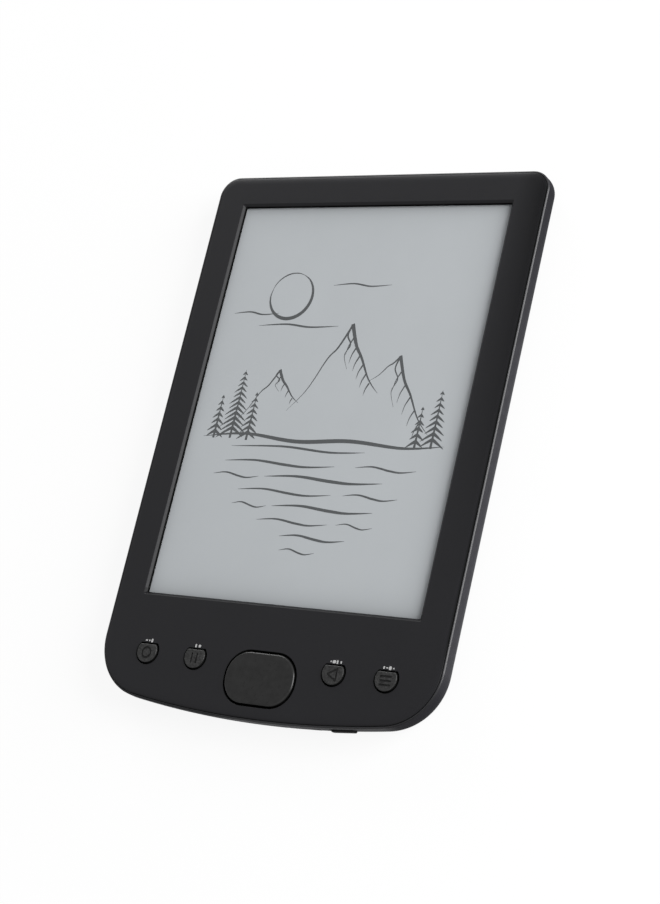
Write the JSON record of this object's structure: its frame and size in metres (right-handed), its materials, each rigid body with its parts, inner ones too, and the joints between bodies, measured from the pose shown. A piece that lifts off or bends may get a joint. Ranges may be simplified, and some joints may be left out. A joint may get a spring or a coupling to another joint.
{
  "type": "e-reader",
  "caption": "Slim black e-reader with a paper-like grey screen in a bevelled bezel, small D-shaped keys and a rocking pad below it, and a rounded rear cover.",
  "frame": {"origin": "middle of the flat back", "axes": "+X to the reader's right, +Y towards the top edge, +Z out of the screen"},
  "size_m": [0.114, 0.168, 0.0096],
  "materials": {
    "case_plastic": "fine matt moulded texture",
    "bezel_plastic": "satin moulded, near black",
    "gasket_foam": "matt foam",
    "ink_film": "matt paper-like ink film",
    "panel_glass": "clear glass backplane",
    "chip_resin": "moulded resin",
    "flex_amber": "amber film with copper tracks",
    "ivory_nylon": "moulded nylon",
    "tape": "adhesive tape",
    "plate_steel": "rolled sheet",
    "screw_steel": "plated steel",
    "board_resin": "green solder mask",
    "coil_ferrite": "ferrite",
    "capacitor_ceramic": "fired ceramic",
    "can_steel": "tinned sheet",
    "battery_pouch": "laminated foil",
    "lead_red": "silicone insulation",
    "lead_black": "silicone insulation",
    "socket_black": "moulded nylon",
    "contact_gold": "gold-plated spring",
    "white_acetal": "moulded acetal",
    "button_plastic": "matt moulded",
    "lamp_resin": "diffused resin",
    "clear_plastic": "clear moulded",
    "key_plastic": "fine texture with pressed symbols",
    "pad_plastic": "polished, near black",
    "dome_steel": "spring steel"
  },
  "bodies": {
    "housing": {"rear_cover": "case_plastic", "front_bezel": "bezel_plastic", "display_gasket": "gasket_foam", "epaper_film": "ink_film", "display_glass": "panel_glass", "display_drivers": "chip_resin", "display_flex": "flex_amber", "display_connector": "ivory_nylon", "panel_tape": "tape", "support_plate": "plate_steel", "plate_screws": "screw_steel", "mainboard": "board_resin", "board_screws": "screw_steel", "processor": "chip_resin", "memory_chip": "chip_resin", "flash_chip": "chip_resin", "power_chip": "chip_resin", "screen_power_chip": "chip_resin", "power_coils": "coil_ferrite", "capacitors": "capacitor_ceramic", "crystal": "can_steel", "shield_can": "can_steel", "battery_cell": "battery_pouch", "battery_tape": "tape", "battery_board": "board_resin", "battery_lead_red": "lead_red", "battery_lead_black": "lead_black", "battery_plug": "ivory_nylon", "battery_socket": "ivory_nylon", "usb_shell": "can_steel", "usb_tongue": "socket_black", "card_base": "socket_black", "card_cover": "can_steel", "card_contacts": "contact_gold", "audio_jack": "socket_black", "jack_contacts": "contact_gold", "power_switch": "socket_black", "reset_switch": "socket_black", "charge_light": "lamp_resin", "light_pipe": "clear_plastic", "dome_far_left": "dome_steel", "dome_near_left": "dome_steel", "dome_near_right": "dome_steel", "dome_far_right": "dome_steel", "nav_guide": "socket_black", "nav_centre_dome": "dome_steel", "nav_side_domes": "dome_steel"},
    "key_far_left": {"key_far_left": "key_plastic"},
    "key_near_left": {"key_near_left": "key_plastic"},
    "key_near_right": {"key_near_right": "key_plastic"},
    "key_far_right": {"key_far_right": "key_plastic"},
    "nav_pusher": {"nav_pusher": "socket_black"},
    "nav_pivot": {"nav_pivot": "white_acetal"},
    "nav_pad": {"nav_pad": "pad_plastic"},
    "power_button": {"power_button": "button_plastic", "power_plunger": "white_acetal"},
    "reset_plunger": {"reset_plunger": "white_acetal"}
  },
  "joints": [
    {"name": "key_far_left_press", "type": "slide", "parent": "housing", "child": "key_far_left", "axis": [0, 0, -1], "range_m": [0, 0.0003], "stiffness_N_per_m": 5000, "deforming": ["dome_far_left"]},
    {"name": "key_near_left_press", "type": "slide", "parent": "housing", "child": "key_near_left", "axis": [0, 0, -1], "range_m": [0, 0.0003], "stiffness_N_per_m": 5000, "deforming": ["dome_near_left"]},
    {"name": "key_near_right_press", "type": "slide", "parent": "housing", "child": "key_near_right", "axis": [0, 0, -1], "range_m": [0, 0.0003], "stiffness_N_per_m": 5000, "deforming": ["dome_near_right"]},
    {"name": "key_far_right_press", "type": "slide", "parent": "housing", "child": "key_far_right", "axis": [0, 0, -1], "range_m": [0, 0.0003], "stiffness_N_per_m": 5000, "deforming": ["dome_far_right"]},
    {"name": "nav_press", "type": "slide", "parent": "housing", "child": "nav_pusher", "axis": [0, 0, -1], "range_m": [0, 0.0002], "stiffness_N_per_m": 6000, "deforming": ["nav_centre_dome", "nav_side_domes"]},
    {"name": "nav_rock_up_down", "type": "hinge", "parent": "nav_pusher", "child": "nav_pivot", "pos_m": [0, -0.072, 0.0062], "axis": [1, 0, 0], "range_deg": [-2.4, 2.4], "stiffness_Nm_per_rad": 0.15, "deforming": ["nav_side_domes"]},
    {"name": "nav_rock_left_right", "type": "hinge", "parent": "nav_pivot", "child": "nav_pad", "pos_m": [0, -0.072, 0.0062], "axis": [0, 1, 0], "range_deg": [-1.6, 1.6], "stiffness_Nm_per_rad": 0.37, "deforming": ["nav_side_domes"]},
    {"name": "power_press", "type": "slide", "parent": "housing", "child": "power_button", "axis": [0, 1, 0], "range_m": [0, 0.0004], "stiffness_N_per_m": 4500},
    {"name": "reset_press", "type": "slide", "parent": "housing", "child": "reset_plunger", "axis": [0, 1, 0], "range_m": [0, 0.00025], "stiffness_N_per_m": 6000}
  ]
}
